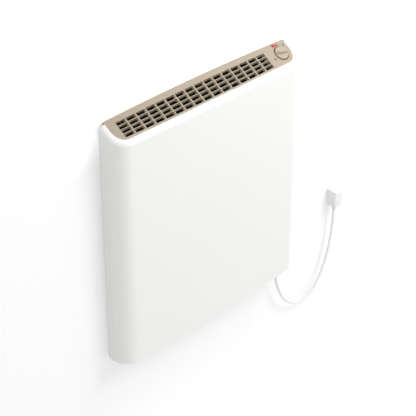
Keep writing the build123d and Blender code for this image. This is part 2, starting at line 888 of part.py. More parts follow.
def side_rail(side):
    """Rail on one side; the right one has a hole for the element lead."""
    foot = Plane(origin=(side * rail_x, rail_y, rail_low), x_dir=(-side, 0, 0), z_dir=(0, 0, 1))
    with BuildPart() as rail:
        add(channel(foot, rail_depth, rail_flange, rail_sheet, rail_length))
        with BuildSketch(Plane.YZ.offset(side * rail_x)):
            with Locations(*[(bush_y, z) for z in bush_heights]):
                Circle(bush_screw_radius + running)
            if side > 0:
                with Locations((bush_y + 1, lead_z)):
                    Circle(grommet_radius)
        extrude(amount=-side * rail_sheet, mode=Mode.SUBTRACT)
    return rail


save(side_rail(-1), "side_rail_left")
save(side_rail(1), "side_rail_right")

# Heat reflector behind the element, between the rails
rail_inner = rail_x - rail_sheet
reflector_back = pan_front + reflector_gap
reflector_front = reflector_back + reflector_sheet
reflector_foot = element_low - reflector_under_element
reflector_height = element_height + reflector_under_element + reflector_over_element
reflector_plane = Plane(
    origin=(0, -reflector_back, reflector_foot), x_dir=(0, -1, 0), z_dir=(0, 0, 1)
)
with BuildPart() as heat_reflector:
    add(channel(reflector_plane, 2 * rail_inner, reflector_flange, reflector_sheet, reflector_height))
save(heat_reflector, "heat_reflector")

# Heating element: mica panel, edge frames and a ribbon laid to and fro on its front
element_front = element_back + element_thickness
element_z = (element_low, element_low + element_height)
frame_half = element_width / 2 + 2
frame_reach = 2 * reflector_sheet + element_thickness
ribbon_half = element_width / 2 - ribbon_inset
run_pitch = element_height / ribbon_runs
with BuildPart() as mica_panel:
    mica_x = (-element_width / 2, element_width / 2)
    add(block(mica_x, (-element_back, -element_front), element_z))
save(mica_panel, "mica_panel")


def element_frame(side):
    """Channel that grips one edge of the mica panel."""
    foot = Plane(origin=(side * frame_half, bush_y, element_low), x_dir=(-side, 0, 0), z_dir=(0, 0, 1))
    with BuildPart() as frame:
        add(channel(foot, frame_reach, element_frame_width, reflector_sheet, element_height))
    return frame


save(element_frame(-1), "element_frame_left")
save(element_frame(1), "element_frame_right")
with BuildPart() as heating_ribbon:
    with BuildSketch(off_wall(element_front)):
        for run in range(ribbon_runs):
            run_z = element_low + (run + 0.5) * run_pitch
            with Locations((0, run_z)):
                Rectangle(2 * ribbon_half, ribbon_height)
            if run < ribbon_runs - 1:
                turn_x = (ribbon_half - ribbon_height / 2) * (-1 if run % 2 == 0 else 1)
                with Locations((turn_x, run_z + run_pitch / 2)):
                    Rectangle(ribbon_height, run_pitch)
    extrude(amount=ribbon_rise)
save(heating_ribbon, "heating_ribbon")

# Ceramic bushes between the frames and the rails, with screws from outside the rails
with BuildPart() as ceramic_bushes:
    for side in (-1, 1):
        with BuildSketch(Plane.YZ.offset(side * frame_half)):
            with Locations(*[(bush_y, z) for z in bush_heights]):
                Circle(ceramic_radius)
        extrude(amount=side * (rail_inner - frame_half))
        with BuildSketch(Plane.YZ.offset(side * rail_inner)):
            with Locations(*[(bush_y, z) for z in bush_heights]):
                Circle(bush_screw_radius + running)
        extrude(amount=-side * bush_screw_length, mode=Mode.SUBTRACT)
save(ceramic_bushes, "ceramic_bushes")
with BuildPart() as bush_screws:
    for side in (-1, 1):
        with BuildSketch(Plane.YZ.offset(side * rail_x)):
            with Locations(*[(bush_y, z) for z in bush_heights]):
                Circle(bush_screw_head)
        extrude(amount=side * bush_screw_height)
        with BuildSketch(Plane.YZ.offset(side * rail_x)):
            with Locations(*[(bush_y, z) for z in bush_heights]):
                Circle(bush_screw_radius)
        extrude(amount=-side * bush_screw_length)
save(bush_screws, "bush_screws")

# Heat shield in front of the element, on the rails
shield_z = (bottom_z + shield_foot, rail_low + rail_length)
with BuildPart() as front_heat_shield:
    shield_half = rail_x + shield_overhang
    shield_y = (-rail_front, -rail_front - reflector_sheet)
    add(block((-shield_half, shield_half), shield_y, shield_z))
save(front_heat_shield, "front_heat_shield")

# Inlet grille across the foot of the air channel
inlet_half = rail_x - rail_flange - seat
inlet_z = bottom_z + inlet_height
inlet_slots = int((2 * rail_inner - inlet_slot_pitch) // inlet_slot_pitch)
inlet_plane = Plane(origin=(-inlet_half, rail_y, inlet_z), x_dir=(0, 0, 1), z_dir=(1, 0, 0))
with BuildPart() as inlet_grille:
    add(channel(inlet_plane, rail_depth, inlet_flange, rail_sheet, 2 * inlet_half))
    side_y = (-pan_front - 2 * rail_sheet - seat, -rail_front + 2 * rail_sheet + seat)
    add(block((-rail_inner, rail_inner), side_y, (inlet_z, inlet_z + rail_sheet)))
    with BuildSketch(Plane.XY.offset(inlet_z)):
        with Locations((0, rail_y)):
            with GridLocations(inlet_slot_pitch, inlet_slot_pitch, inlet_slots, 2):
                SlotOverall(inlet_slot_length, inlet_slot_width, rotation=90)
    extrude(amount=rail_sheet, mode=Mode.SUBTRACT)
save(inlet_grille, "inlet_grille")

# Thermal cut-out on the reflector, with a blade on each side
cutout_z = element_low + element_height + cutout_over_element
blade_y = -reflector_front - cutout_height / 2
with BuildPart() as thermal_cutout:
    with BuildSketch(off_wall(reflector_front)):
        with Locations((cutout_x, cutout_z)):
            RectangleRounded(*cutout_base_size, 2)
    extrude(amount=cutout_base)
    with BuildSketch(off_wall(reflector_front)):
        with Locations((cutout_x, cutout_z)):
            Circle(cutout_radius)
    extrude(amount=cutout_height)
    cutout_reach = cutout_radius + cutout_blade_reach
    cutout_blade = (cutout_x - cutout_reach, cutout_x + cutout_reach)
    cutout_blade_y = (blade_y - blade_sheet / 2, blade_y + blade_sheet / 2)
    cutout_blade_z = (cutout_z - cutout_blade_width / 2, cutout_z + cutout_blade_width / 2)
    add(block(cutout_blade, cutout_blade_y, cutout_blade_z))
save(thermal_cutout, "thermal_cutout")

# Terminal block beside the right rail, and its screws
block_x = (rail_x + terminal_gap, rail_x + terminal_gap + terminal_width)
block_z = (bottom_z + terminal_foot, bottom_z + terminal_foot + terminal_height)
with BuildPart() as terminal_block:
    add(block(block_x, (-pan_front, -terminal_front), block_z))
    fillet(terminal_block.faces().sort_by(Axis.Y)[0].edges(), terminal_edge)
save(terminal_block, "terminal_block")
with BuildPart() as terminal_screws:
    with BuildSketch(off_wall(terminal_front)):
        with Locations((sum(block_x) / 2, sum(block_z) / 2)):
            with GridLocations(terminal_pitch, 1, 3, 1):
                Circle(terminal_screw_radius)
    extrude(amount=screw_head_height)
save(terminal_screws, "terminal_screws")

# Wires inside, with the grommet that the lower lead passes through
eyelet_x = ribbon_half - 3
eyelet_front = element_front + ribbon_rise
lead_y = -eyelet_front - 1 - lead_radius
first_run_z = element_low + run_pitch / 2
last_run_z = element_low + element_height - run_pitch / 2
lower_lead = (
    (eyelet_x, lead_y, first_run_z),
    (frame_half + lead_first_bend, lead_y, first_run_z),
    (frame_half + lead_second_bend, bush_y + 1, lead_z),
    (block_x[0], bush_y + 1, lead_z),
)
upper_lead = (
    (eyelet_x, lead_y, last_run_z),
    (eyelet_x, lead_y, last_run_z + upper_lead_rise),
    (eyelet_x - upper_lead_shift, blade_y, cutout_z),
    (cutout_x + cutout_reach, blade_y, cutout_z),
)
with BuildPart() as element_leads:
    with BuildSketch(off_wall(eyelet_front)):
        with Locations((eyelet_x, first_run_z), (eyelet_x, last_run_z)):
            Circle(3)
    extrude(amount=1 + lead_radius)
    add(wire(lower_lead, lead_bend, lead_radius))
    add(wire(upper_lead, lead_bend, lead_radius))
save(element_leads, "element_leads")
with BuildPart() as wire_grommet:
    with BuildSketch(Plane.YZ.offset(rail_inner - grommet_lip_sheet)):
        with Locations((bush_y + 1, lead_z)):
            Circle(grommet_radius + grommet_lip)
    extrude(amount=rail_sheet + 2 * grommet_lip_sheet)
    # Groove that the edge of the rail sits in
    with BuildSketch(Plane.YZ.offset(rail_inner)):
        with Locations((bush_y + 1, lead_z)):
            Circle(grommet_radius + 2 * grommet_lip)
            Circle(grommet_radius - running, mode=Mode.SUBTRACT)
    extrude(amount=rail_sheet, mode=Mode.SUBTRACT)
    with BuildSketch(Plane.YZ.offset(rail_inner - 2 * grommet_lip_sheet)):
        with Locations((bush_y + 1, lead_z)):
            Circle(lead_radius + running)
    extrude(amount=rail_sheet + 4 * grommet_lip_sheet, mode=Mode.SUBTRACT)
save(wire_grommet, "wire_grommet")
loom_x = gland_x + 3
loom_end = thermostat_under.from_local_coords((loom_terminal_x, 0, 0))
wire_loom_path = (
    (loom_x, gland_y + 2, block_z[1]),
    (loom_x, gland_y + 2, top_z - loom_under_top),
    thermostat_under.from_local_coords((loom_terminal_x, 0, -loom_drop)),
    loom_end,
)
with BuildPart() as wire_loom:
    add(wire(wire_loom_path, loom_bend, loom_radius))
save(wire_loom, "wire_loom")
loop_x = cutout_x - cutout_reach - lead_loop_side
loop_z = cutout_z + lead_loop_rise
cutout_lead_path = (
    (cutout_x - cutout_reach, blade_y, cutout_z),
    (loop_x, blade_y, cutout_z),
    (loop_x, blade_y, loop_z),
    (knob_x - lead_loop_end, blade_y + lead_radius, loop_z),
    thermostat_under.from_local_coords((-blade_x, 0, -blade_length - lead_tail)),
    thermostat_under.from_local_coords((-blade_x, 0, -blade_length)),
)
with BuildPart() as cutout_lead:
    add(wire(cutout_lead_path, lead_bend, lead_radius))
save(cutout_lead, "cutout_lead")

# Cord tail inside, cord gland with its tapered relief
with BuildPart() as cord_tail:
    with BuildSketch(Plane.XY.offset(bottom_z + gland_top)):
        with Locations((gland_x, gland_y)):
            Circle(cord_diameter / 2)
    extrude(amount=block_z[0] - bottom_z - gland_top)
save(cord_tail, "cord_tail")
floor_low = pan_low - bottom_z
floor_high = floor_low + pan_sheet
gland_plane = Plane(origin=(gland_x, gland_y, bottom_z), x_dir=(1, 0, 0), z_dir=(0, -1, 0))
with BuildPart() as cord_gland:
    with BuildSketch(gland_plane):
        with BuildLine():
            Polyline(
                (0, gland_top),
                (gland_radius, gland_top),
                (gland_radius, floor_high),
                (gland_neck_radius, floor_high),
                (gland_neck_radius, floor_low),
                (gland_radius, floor_low),
                (gland_radius, -collar_depth),
                (gland_radius - collar_edge, -collar_depth - collar_taper),
                (relief_tip_radius, -relief_length),
                (0, -relief_length),
                close=True,
            )
        make_face()
    revolve(axis=Axis((gland_x, gland_y, 0), (0, 0, 1)))
save(cord_gland, "cord_gland")

# Plug with its tapered relief, two blades and a round ground pin
plug_low = bottom_z + plug_foot
plug_y = gland_y + cord_forward
plug_end = plug_low - plug_relief
with BuildPart() as plug_body:
    plug_sides = (plug_x - plug_width / 2, plug_x + plug_width / 2)
    plug_y_limits = (-plug_gap, -plug_gap - plug_thickness)
    add(block(plug_sides, plug_y_limits, (plug_low, plug_low + plug_height)))
    fillet(plug_body.edges().filter_by(Axis.Y), plug_corner)
    fillet(plug_body.faces().sort_by(Axis.Y)[0].edges(), plug_edge)
    relief_height = plug_relief + relief_sink
    cord_radius = cord_diameter / 2
    with Locations((plug_x, plug_y, plug_end + relief_height / 2)):
        Cone(cord_radius + relief_tip_wall, cord_radius + relief_root_wall, relief_height)
save(plug_body, "plug_body")
blade_z = plug_low + plug_height / 2
with BuildPart() as plug_blades:
    with BuildSketch(off_wall(plug_gap)):
        with Locations((plug_x, blade_z)):
            with GridLocations(plug_blade_spacing, 1, 2, 1):
                Rectangle(plug_blade_sheet, plug_blade_width)
    extrude(amount=-plug_blade_length)
save(plug_blades, "plug_blades")
with BuildPart() as ground_pin:
    with BuildSketch(off_wall(plug_gap)):
        with Locations((plug_x, blade_z - pin_drop)):
            Circle(pin_radius)
    extrude(amount=-pin_length)
    fillet(ground_pin.edges().sort_by(Axis.Y)[-1], pin_edge)
save(ground_pin, "ground_pin")

# Power cord, hanging in a loop from the gland to the plug
cord_start = bottom_z - relief_length
route = [
    (gland_x, gland_y, cord_start),
    (219, -18, -311),
    (233, -18, -349),
    (252, -17.5, -383),
    (279, -17, -407),
    (313, -16.5, -419),
    (344, -16, -410),
    (370, -15.5, -382),
    (389, -15, -345),
    (400, -15, -303),
    (plug_x, plug_y, -257),
    (plug_x, plug_y, plug_end),
]
points = [Vector(*place) for place in route]
runs = [after - before for before, after in zip(points, points[1:])]
radii = []
for before, after in zip(runs, runs[1:]):
    turn = math.radians(before.get_angle(after))
    radii.append(0.45 * min(before.length, after.length) / math.tan(turn / 2))
print("cord bend radii", [round(radius, 1) for radius in radii])
print("cord runs", [round(run.length, 1) for run in runs])
with BuildPart() as power_cord:
    with BuildLine() as cord_path:
        FilletPolyline(*points, radius=radii)
    with BuildSketch(Plane(origin=points[0], z_dir=(0, 0, -1))):
        Circle(cord_diameter / 2)
    sweep()
save(power_cord, "power_cord")
cord_length = sum(edge.length for edge in cord_path.edges())
section = math.pi * cord_diameter**2 / 4
print("cord length", round(cord_length, 2))
print("cord volume over length times section", round(power_cord.part.volume / cord_length / section, 5))
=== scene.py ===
# %% [markdown]
# A slim electric panel heater hangs on a wall. Its metal front is bowed and white, its
# sloping top is a beige moulded grille, and a short white cord runs to a wall plug.
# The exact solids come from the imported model, which is loaded first as a fixed frame.
# Everything that Blender adds is placed from that frame, in metres.

# %% Load the frame
import json
import math
import bpy
from mathutils import Matrix, Vector


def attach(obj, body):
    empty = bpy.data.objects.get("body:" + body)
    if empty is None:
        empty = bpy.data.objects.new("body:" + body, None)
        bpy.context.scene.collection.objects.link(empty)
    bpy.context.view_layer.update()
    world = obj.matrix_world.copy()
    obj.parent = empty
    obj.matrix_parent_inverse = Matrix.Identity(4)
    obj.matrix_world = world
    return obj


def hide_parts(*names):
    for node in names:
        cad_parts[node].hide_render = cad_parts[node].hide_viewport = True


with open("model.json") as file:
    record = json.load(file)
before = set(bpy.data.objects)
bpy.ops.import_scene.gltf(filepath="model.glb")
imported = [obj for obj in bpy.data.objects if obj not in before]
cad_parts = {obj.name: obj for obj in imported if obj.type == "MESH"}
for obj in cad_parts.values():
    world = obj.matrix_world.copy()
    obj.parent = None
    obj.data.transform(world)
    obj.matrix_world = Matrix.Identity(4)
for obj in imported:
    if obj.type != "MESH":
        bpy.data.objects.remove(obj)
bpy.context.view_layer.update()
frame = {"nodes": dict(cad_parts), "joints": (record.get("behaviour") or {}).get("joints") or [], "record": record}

nodes = frame["nodes"]
record = frame["record"]
slot_of = {row["node"]: row["material_slot"] for row in record["subparts"]}
body_of = {}
for body, group in record["behaviour"]["bodies"].items():
    for node in group:
        body_of[node] = body
joints = {joint["name"]: joint for joint in frame["joints"]}

# %% [markdown]
# The camera comes first, because everything else is judged through it. It stands in
# front of the heater, to the left and above, and looks down along the wall. Its place,
# turn and lens were fitted to the heater's own edges. A long lens keeps the upright
# edges nearly parallel, as in a catalogue picture.

# %% Camera
sensor_mm = 36.0
frame_pixels = 416
focal_pixels = 1360.08
far_clip = 50
camera_place = Vector((-1.5567, -1.5732, 1.4015))
camera_yaw = math.radians(45.278)
camera_pitch = math.radians(33.006)
camera_roll = math.radians(0.207)

camera = bpy.data.cameras.new("camera")
camera.sensor_width = sensor_mm
camera.lens = sensor_mm * focal_pixels / frame_pixels
camera.clip_end = far_clip
camera_object = bpy.data.objects.new("camera", camera)
bpy.context.scene.collection.objects.link(camera_object)
turn = Matrix.Rotation(-camera_yaw, 4, "Z")
tip = Matrix.Rotation(math.pi / 2 - camera_pitch, 4, "X")
lean = Matrix.Rotation(camera_roll, 4, "Z")
camera_object.matrix_world = Matrix.Translation(camera_place) @ turn @ tip @ lean
bpy.context.scene.camera = camera_object
print("lens", round(camera.lens, 2), "mm")

# %% [markdown]
# What Blender adds to the heater is made with its own operators, as by hand. Operators
# act on all that is selected, and the frame arrives with its nodes selected, so each
# helper starts from nothing selected. Working on mesh data alone would avoid that, but
# then the steps could not be repeated in Blender's window.

# %% Helpers for picking and shaping
def clear_selection():
    """Nothing is selected, and Blender is in object mode."""
    if bpy.context.object and bpy.context.object.mode != "OBJECT":
        bpy.ops.object.mode_set(mode="OBJECT")
    bpy.ops.object.select_all(action="DESELECT")


def pick(piece):
    """Only this piece is selected and active."""
    clear_selection()
    piece.select_set(True)
    bpy.context.view_layer.objects.active = piece


def apply_modifier(piece, kind, **settings):
    """Adds a modifier with its settings and applies it."""
    pick(piece)
    modifier = piece.modifiers.new(kind.lower(), kind)
    for name, value in settings.items():
        setattr(modifier, name, value)
    bpy.ops.object.modifier_apply(modifier=modifier.name)


def smooth(piece, degrees=30):
    """Smooth shading, with edges sharper than the angle left crisp."""
    pick(piece)
    bpy.ops.object.shade_smooth_by_angle(angle=math.radians(degrees))


print("helpers for shaping ready")

# %% [markdown]
# A finished piece has its place in its mesh and sits at the origin, so that a pattern on object coordinates
# neither slides nor turns. It takes a material, and it rides on a body of the frame: the knob turns, the rocker
# tips and the rest stands still.

# %% Helpers for finished pieces
def settle(piece, material, body="root"):
    """Puts the place into the mesh, then gives finish and body."""
    pick(piece)
    bpy.ops.object.transform_apply(location=True, rotation=True, scale=True)
    piece.data.materials.clear()
    piece.data.materials.append(material)
    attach(piece, body)


def join(name, parts):
    """Joins several pieces into the first one."""
    clear_selection()
    for part in parts:
        part.select_set(True)
    bpy.context.view_layer.objects.active = parts[0]
    if len(parts) > 1:
        bpy.ops.object.join()
    parts[0].name = name
    return parts[0]


print("helpers for finished pieces ready")

# %% [markdown]
# The knob, the screws, the gland and the plug's relief are round. Such a piece is made
# as on a lathe: a circle is extruded ring by ring, and each new ring is scaled to its
# radius. A spun profile would give the same outline, but with a seam to close.

# %% Turned pieces
turned_crease = 35
z_axis = Vector((0, 0, 1))


def facing_along(direction):
    """Turn that lays the Z axis along a direction."""
    return z_axis.rotation_difference(Vector(direction)).to_matrix().to_4x4()


def face_outward():
    """All faces of the mesh in edit mode point out of it."""
    bpy.ops.mesh.select_all(action="SELECT")
    bpy.ops.mesh.normals_make_consistent(inside=False)
    bpy.ops.object.mode_set(mode="OBJECT")


def turned_piece(name, profile, place=(0, 0, 0), axis=z_axis, sides=48):
    """Round piece made ring by ring: profile lists (radius, height) along the axis."""
    clear_selection()
    radius, level = profile[0]
    bpy.ops.mesh.primitive_circle_add(vertices=sides, radius=radius, location=(0, 0, 0))
    piece = bpy.context.object
    piece.name = name
    bpy.ops.object.mode_set(mode="EDIT")
    bpy.ops.transform.translate(value=(0, 0, level))
    for next_radius, next_level in profile[1:]:
        rise = {"value": (0, 0, next_level - level)}
        bpy.ops.mesh.extrude_region_move(TRANSFORM_OT_translate=rise)
        grow = next_radius / radius
        bpy.ops.transform.resize(value=(grow, grow, 1), center_override=(0, 0, next_level))
        radius, level = next_radius, next_level
    bpy.ops.mesh.select_all(action="SELECT")
    bpy.ops.mesh.fill_holes(sides=0)
    face_outward()
    piece.matrix_world = Matrix.Translation(Vector(place)) @ facing_along(axis)
    smooth(piece, turned_crease)
    return piece


print("turned pieces are creased at", turned_crease, "degrees")

# %% [markdown]
# The plug's block, its ridges and the strokes of a printed sign are boxes, but nothing
# moulded or printed has a razor edge. A Bevel modifier on a cube rounds every edge by
# the same small radius, and applying it leaves plain faces that shade smoothly.

# %% Soft boxes
def soft_box(name, low, high, bevel, segments):
    """Box between two corners, its edges rounded by the bevel in so many segments."""
    clear_selection()
    low = Vector(low)
    high = Vector(high)
    bpy.ops.mesh.primitive_cube_add(size=1, location=(low + high) / 2)
    piece = bpy.context.object
    piece.name = name
    piece.scale = high - low
    bpy.ops.object.transform_apply(location=True, rotation=True, scale=True)
    apply_modifier(piece, "BEVEL", width=bevel, segments=segments, limit_method="NONE")
    smooth(piece)
    return piece


print("soft boxes ready")

# %% [markdown]
# A material in Blender is a tree of small nodes. Maths on masks and heights comes up in
# nearly every one, so small helpers add such nodes in one line each. A value is either a
# plain number or the output of another node.

# %% Helpers for shader nodes
def feed(tree, socket, value):
    """Links a socket to another node's output, or sets it to a number."""
    if isinstance(value, bpy.types.NodeSocket):
        tree.links.new(value, socket)
    else:
        socket.default_value = value


def add_math(tree, operation, *values):
    """Result of one sum on numbers or sockets."""
    node = tree.nodes.new("ShaderNodeMath")
    node.operation = operation
    for socket, value in zip(node.inputs, values):
        feed(tree, socket, value)
    return node.outputs["Value"]


def add_range(tree, value, start=0.0, end=1.0, low=0.0, high=1.0):
    """Turns values from start to end into values from low to high."""
    node = tree.nodes.new("ShaderNodeMapRange")
    feed(tree, node.inputs["Value"], value)
    feed(tree, node.inputs["From Min"], start)
    feed(tree, node.inputs["From Max"], end)
    feed(tree, node.inputs["To Min"], low)
    feed(tree, node.inputs["To Max"], high)
    return node.outputs["Result"]


def add_mix(tree, mask, under, over):
    """First colour where the mask is 0 and second colour where it is 1."""
    mix = tree.nodes.new("ShaderNodeMix")
    mix.data_type = "RGBA"
    feed(tree, mix.inputs["Factor"], mask)
    feed(tree, mix.inputs["A"], under)
    feed(tree, mix.inputs["B"], over)
    return mix.outputs["Result"]


def object_place(tree):
    """Object coordinates of the shaded point."""
    return tree.nodes.new("ShaderNodeTexCoord").outputs["Object"]


def object_parts(tree):
    """The same coordinates, apart as X, Y and Z."""
    split = tree.nodes.new("ShaderNodeSeparateXYZ")
    tree.links.new(object_place(tree), split.inputs["Vector"])
    return split.outputs


print("helpers for shader nodes ready")

# %% [markdown]
# An effect that several finishes share is a node group: it is built once, and each
# material places it with its own values. The pattern is a noise on object coordinates,
# so it stays on the piece when the piece moves. An image texture would need unwrapping.

# %% Empty groups and noise
def new_group(name, inputs, outputs):
    """Empty shader group; each input and output has a name and a kind of socket."""
    tree = bpy.data.node_groups.new(name, "ShaderNodeTree")
    for label, kind in inputs.items():
        tree.interface.new_socket(label, in_out="INPUT", socket_type=kind)
    for label, kind in outputs.items():
        tree.interface.new_socket(label, in_out="OUTPUT", socket_type=kind)
    given = tree.nodes.new("NodeGroupInput").outputs
    result = tree.nodes.new("NodeGroupOutput").inputs
    return tree, given, result


def add_noise(tree, scale, detail, stretch=(1, 1, 1)):
    """Noise on object coordinates, stretched along the axes."""
    mapping = tree.nodes.new("ShaderNodeMapping")
    noise = tree.nodes.new("ShaderNodeTexNoise")
    mapping.inputs["Scale"].default_value = stretch
    noise.inputs["Detail"].default_value = detail
    tree.links.new(object_place(tree), mapping.inputs["Vector"])
    tree.links.new(mapping.outputs["Vector"], noise.inputs["Vector"])
    tree.links.new(scale, noise.inputs["Scale"])
    return noise.outputs["Fac"]


number = "NodeSocketFloat"
tint = "NodeSocketColor"
print("group sockets", number, tint)

# %% [markdown]
# A real finish is more than one colour. Powder coat and moulded plastic have a fine
# grain, a large painted surface drifts a little in tone, and rolled or drawn metal has
# long streaks. All three are the same noise, at another scale, stretch or strength.

# %% Grain, drift and streaks
drift_start = 0.35
drift_end = 0.65
streak_stretch = (1, 1, 0.02)

fine_grain, given, result = new_group("fine grain", {"Scale": number}, {"Grain": number})
grain_noise = add_noise(fine_grain, given["Scale"], detail=3.0)
fine_grain.links.new(grain_noise, result["Grain"])

drift_inputs = {"Color": tint, "Shade": tint, "Scale": number}
tone_drift, given, result = new_group("tone drift", drift_inputs, {"Color": tint})
drift_noise = add_noise(tone_drift, given["Scale"], detail=4.0)
drift_mask = add_range(tone_drift, drift_noise, drift_start, drift_end)
drift_color = add_mix(tone_drift, drift_mask, given["Color"], given["Shade"])
tone_drift.links.new(drift_color, result["Color"])

streaks, given, result = new_group("streaks", {"Scale": number}, {"Streak": number})
streak_noise = add_noise(streaks, given["Scale"], detail=3.0, stretch=streak_stretch)
streaks.links.new(streak_noise, result["Streak"])
print("effects", fine_grain.name, tone_drift.name, streaks.name)

# %% [markdown]
# The heater's top slopes down to the front and is crowned: it is highest in the middle and falls to both ends
# along a flat arc. The painted shade and painted light in its slots and recess depend on how deep a point lies
# below that surface. A fourth group works this depth out. It projects the point on the slope's own normal and adds
# the crown's fall, which grows with the square of the distance from the middle. The rear face of the grille's
# skirt is seen from behind in full light, so there the mask stays 0.

# %% Depth below the sloping top
slope = math.radians(32.5)
slope_out = Vector((0, -math.sin(slope), math.cos(slope)))
crown_rise = 0.004386
crown_half = 0.243
rear_edge = Vector((0, -0.003, 0.247))
crest_level = rear_edge.dot(slope_out) + crown_rise
skirt_middle = -0.004

well_depth, given, result = new_group("well depth", {"Start": number, "End": number}, {"Mask": number})
level = well_depth.nodes.new("ShaderNodeVectorMath")
level.operation = "DOT_PRODUCT"
level.inputs[1].default_value = slope_out
well_depth.links.new(object_place(well_depth), level.inputs[0])
parts = object_parts(well_depth)
square = add_math(well_depth, "MULTIPLY", parts["X"], parts["X"])
crown_fall = crown_rise / crown_half**2
crowned = add_math(well_depth, "MULTIPLY_ADD", square, crown_fall, level.outputs["Value"])
depth = add_math(well_depth, "SUBTRACT", crest_level, crowned)
depth_mask = add_range(well_depth, depth, given["Start"], given["End"])
before_skirt = add_math(well_depth, "LESS_THAN", parts["Y"], skirt_middle)
well_mask = add_math(well_depth, "MULTIPLY", depth_mask, before_skirt)
well_depth.links.new(well_mask, result["Mask"])
print("crest level", round(crest_level, 5), "m along the slope's normal")

# %% [markdown]
# Paint, plastic and metal are never of one even gloss. The same pattern that makes the
# bumps of a finish therefore also varies its roughness, from a low to a high value. The
# bumps are a tenth of a millimetre deep at most, too fine for real geometry.

# %% Parts of a finish
def place_group(tree, group, **values):
    """Puts a shared effect in a material with this material's own values."""
    node = tree.nodes.new("ShaderNodeGroup")
    node.node_tree = group
    for label, value in values.items():
        node.inputs[label].default_value = value
    return node.outputs


def new_finish(name, color, shade, drift):
    """Material whose base colour drifts between two tones."""
    material = bpy.data.materials.new(name)
    material.use_nodes = True
    tree = material.node_tree
    shader = tree.nodes["Principled BSDF"]
    tone = place_group(tree, tone_drift, Color=(*color, 1), Shade=(*shade, 1), Scale=drift)
    tree.links.new(tone["Color"], shader.inputs["Base Color"])
    return material, tree, shader


def add_surface(tree, shader, height, depth, rough):
    """Bumps of a depth in metres, and a roughness that varies with them."""
    bump = tree.nodes.new("ShaderNodeBump")
    bump.inputs["Distance"].default_value = depth
    tree.links.new(height, bump.inputs["Height"])
    tree.links.new(bump.outputs["Normal"], shader.inputs["Normal"])
    roughness = add_range(tree, height, low=rough[0], high=rough[1])
    tree.links.new(roughness, shader.inputs["Roughness"])


print("parts of a finish ready")

# %% [markdown]
# Two recipes cover every finish. A coated surface is painted, moulded or rubber: its
# tone drifts, and a fine grain covers it. A metal has streaks along its height instead
# of the grain, and reflects with its own colour. One recipe with a switch would be
# shorter, but the two are easier to read and to change apart.

# %% Two recipes
metal_drift = 40.0


def coated(name, color, shade, drift, grain, depth, rough=(0.4, 0.5)):
    """Painted, moulded or rubber surface: tone drift, fine grain and uneven gloss."""
    material, tree, shader = new_finish(name, color, shade, drift)
    surface = place_group(tree, fine_grain, Scale=grain)
    add_surface(tree, shader, surface["Grain"], depth, rough)
    return material


def metal(name, color, shade, streak=500.0, depth=0.00001, rough=(0.25, 0.4)):
    """Rolled or drawn metal with streaks along its height."""
    material, tree, shader = new_finish(name, color, shade, metal_drift)
    lines = place_group(tree, streaks, Scale=streak)
    add_surface(tree, shader, lines["Streak"], depth, rough)
    shader.inputs["Metallic"].default_value = 1.0
    return material


print("recipes: coated, metal")

# %% [markdown]
# The cord is soft vinyl, white and slightly glossy, as thick as a pencil. It drops from the gland under the
# heater, hangs in one open loop and rises to the plug. A row of straight tubes would show its corners. A NURBS
# curve with listed points gives the even bend of a real cord, with a round bevel for its thickness.

# %% Cord
cord_diameter = 0.0065
cord_route = [
    (0.219, -0.018, -0.289),
    (0.219, -0.018, -0.311),
    (0.233, -0.018, -0.349),
    (0.252, -0.0175, -0.383),
    (0.279, -0.017, -0.407),
    (0.313, -0.0165, -0.419),
    (0.344, -0.016, -0.410),
    (0.370, -0.0155, -0.382),
    (0.389, -0.015, -0.345),
    (0.400, -0.015, -0.303),
    (0.407, -0.015, -0.257),
    (0.407, -0.015, -0.219),
]
cord_white = (0.95, 0.95, 0.945)
cord_shade = (0.93, 0.93, 0.925)
cord_vinyl = coated(
    "cord vinyl", cord_white, cord_shade, drift=30, grain=2500, depth=0.00002, rough=(0.32, 0.42)
)
cord_curve = bpy.data.curves.new("power_cord_line", "CURVE")
cord_curve.dimensions = "3D"
spline = cord_curve.splines.new("NURBS")
spline.points.add(len(cord_route) - 1)
for point, place in zip(spline.points, cord_route):
    point.co = (*place, 1)
spline.order_u = 3
spline.use_endpoint_u = True
spline.resolution_u = 16
cord_curve.bevel_depth = cord_diameter / 2
cord_curve.bevel_resolution = 6
cord_curve.use_fill_caps = True
cord_piece = bpy.data.objects.new("power_cord_vinyl", cord_curve)
bpy.context.scene.collection.objects.link(cord_piece)
cord_curve.materials.append(cord_vinyl)
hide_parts("power_cord")
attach(cord_piece, "root")

# %% [markdown]
# The wall and the floor aren't part of the heater. The wall is pale and catches the soft
# shadow that falls to the left and below. Seen by the camera it adds a little light of
# its own, more so above the heater, so that it reads as white paper without more light
# on the heater. Light Path tells which rays come from the camera, from gloss or through
# glass, and a colour ramp over the height sets how strong the glow is.

# %% Glow of the paper
glow_by_height = {-0.65: 0.24, -0.4: 0.14, 0.16: 0.13, 0.27: 0.5}
glow_span = (-1.0, 0.5)


def seen_rays(tree):
    """1 for rays of the camera, of gloss and of glass, and 0 for the others."""
    rays = tree.nodes.new("ShaderNodeLightPath").outputs
    either = add_math(tree, "MAXIMUM", rays["Is Camera Ray"], rays["Is Glossy Ray"])
    return add_math(tree, "MAXIMUM", either, rays["Is Transmission Ray"])


def glow_at_height(tree):
    """Strength of the paper's own light, from a ramp over the height."""
    foot, head = glow_span
    height = add_range(tree, object_parts(tree)["Z"], foot, head)
    glow = tree.nodes.new("ShaderNodeValToRGB")
    stops = glow.color_ramp.elements
    for index, (level, strength) in enumerate(glow_by_height.items()):
        position = (level - foot) / (head - foot)
        stop = stops[index] if index < len(stops) else stops.new(position)
        stop.position = position
        stop.color = (strength, strength, strength, 1)
    tree.links.new(height, glow.inputs["Fac"])
    return glow.outputs["Color"]


print("glow at", len(glow_by_height), "heights")

